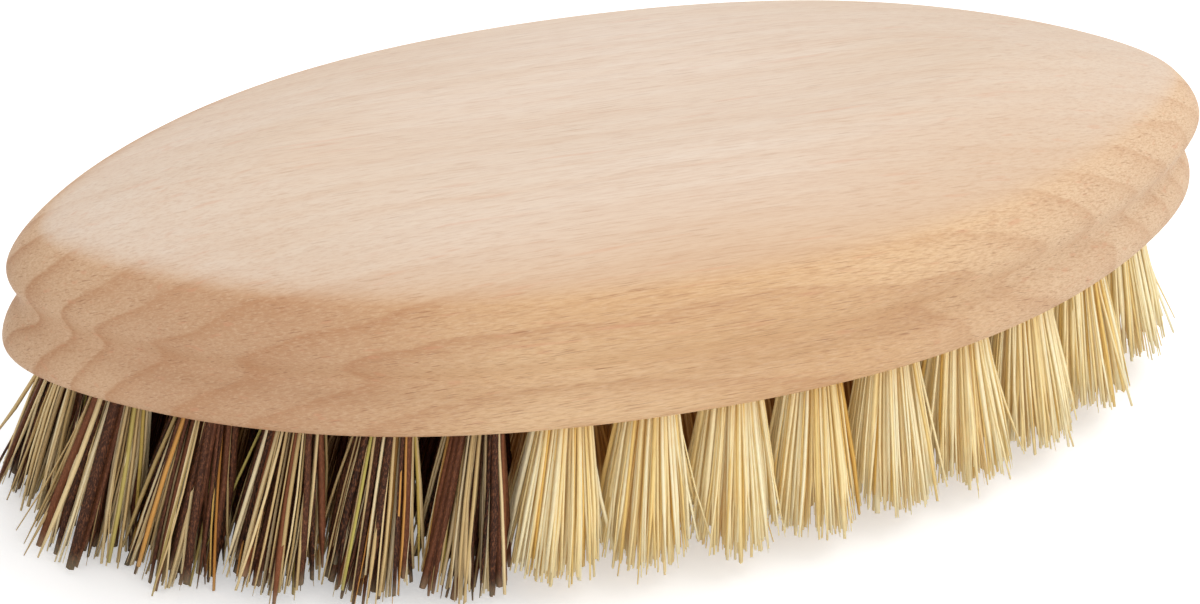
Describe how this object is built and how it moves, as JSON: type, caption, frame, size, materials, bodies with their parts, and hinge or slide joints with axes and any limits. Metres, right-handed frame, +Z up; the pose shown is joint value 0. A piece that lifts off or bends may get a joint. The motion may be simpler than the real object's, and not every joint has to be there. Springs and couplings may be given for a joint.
{
  "type": "vegetable brush",
  "caption": "Oval hand brush for scrubbing vegetables: a wooden block with a finger groove all round, set with stiff fibre tufts at one end and soft tufts along the rest.",
  "frame": {"origin": "on the plane of the trimmed fibre ends, under the middle of the block", "axes": "+X along the block towards the soft end, +Y across the block, +Z up through the wood"},
  "size_m": [0.1356, 0.0583, 0.044],
  "materials": {
    "beech": "sanded smooth and unvarnished",
    "stiff_fibre": "coarse dark plant fibre, dry and matt",
    "soft_fibre": "fine pale plant fibre, dry with a faint sheen",
    "anchor_steel": "flat drawn wire, plain"
  },
  "bodies": {
    "root": {"block": "beech", "tuft_anchors": "anchor_steel", "stiff_outer_01": "stiff_fibre", "stiff_outer_02": "stiff_fibre", "stiff_outer_03": "stiff_fibre", "stiff_outer_04": "stiff_fibre", "stiff_outer_05": "stiff_fibre", "stiff_outer_06": "stiff_fibre", "soft_outer_01": "soft_fibre", "soft_outer_02": "soft_fibre", "soft_outer_03": "soft_fibre", "soft_outer_04": "soft_fibre", "soft_outer_05": "soft_fibre", "soft_outer_06": "soft_fibre", "soft_outer_07": "soft_fibre", "soft_outer_08": "soft_fibre", "soft_outer_09": "soft_fibre", "soft_outer_10": "soft_fibre", "soft_outer_11": "soft_fibre", "soft_outer_12": "soft_fibre", "soft_outer_13": "soft_fibre", "soft_outer_14": "soft_fibre", "soft_outer_15": "soft_fibre", "soft_outer_16": "soft_fibre", "soft_outer_17": "soft_fibre", "soft_outer_18": "soft_fibre", "stiff_outer_07": "stiff_fibre", "stiff_outer_08": "stiff_fibre", "stiff_outer_09": "stiff_fibre", "stiff_outer_10": "stiff_fibre", "stiff_inner_01": "stiff_fibre", "stiff_inner_02": "stiff_fibre", "stiff_inner_03": "stiff_fibre", "stiff_inner_04": "stiff_fibre", "soft_inner_01": "soft_fibre", "soft_inner_02": "soft_fibre", "soft_inner_03": "soft_fibre", "soft_inner_04": "soft_fibre", "soft_inner_05": "soft_fibre", "soft_inner_06": "soft_fibre", "soft_inner_07": "soft_fibre", "soft_inner_08": "soft_fibre", "soft_inner_09": "soft_fibre", "soft_inner_10": "soft_fibre", "soft_inner_11": "soft_fibre", "soft_inner_12": "soft_fibre", "soft_inner_13": "soft_fibre", "stiff_inner_05": "stiff_fibre", "stiff_inner_06": "stiff_fibre", "stiff_inner_07": "stiff_fibre", "stiff_middle_01": "stiff_fibre", "stiff_middle_02": "stiff_fibre", "soft_middle_01": "soft_fibre", "soft_middle_02": "soft_fibre", "soft_middle_03": "soft_fibre", "soft_middle_04": "soft_fibre", "soft_middle_05": "soft_fibre"}
  },
  "joints": []
}
